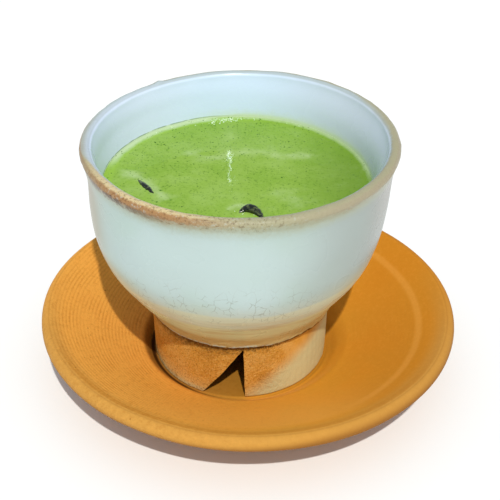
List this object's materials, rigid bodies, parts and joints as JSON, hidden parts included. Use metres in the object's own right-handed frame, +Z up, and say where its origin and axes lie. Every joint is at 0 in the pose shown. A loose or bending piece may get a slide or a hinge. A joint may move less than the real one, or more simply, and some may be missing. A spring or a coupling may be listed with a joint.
{
  "type": "matcha tea",
  "caption": "Bright green matcha filling a pale glazed tea bowl with a tall notched foot, standing in the well of a round turned wooden saucer.",
  "frame": {"origin": "centre of the saucer's flat underside, at the middle of the bottom of the bounding box", "axes": "+Z up; the notch in the bowl's foot faces -Y, towards the viewer, and +X is to the viewer's right"},
  "size_m": [0.1626, 0.1582, 0.0993],
  "materials": {
    "glaze": "crackled pale blue-white glaze over tan clay, brown at the lip, bare orange-brown foot",
    "wood": "satin orange-brown, with fine turned rings",
    "tea": "opaque bright green liquid, lightly frothed",
    "ice": "wet, glossy, looks near black where it breaks the tea"
  },
  "bodies": {
    "root": {"bowl": "glaze", "saucer": "wood", "tea": "tea", "ice_tip_left": "ice", "ice_tip_front": "ice"}
  },
  "joints": []
}
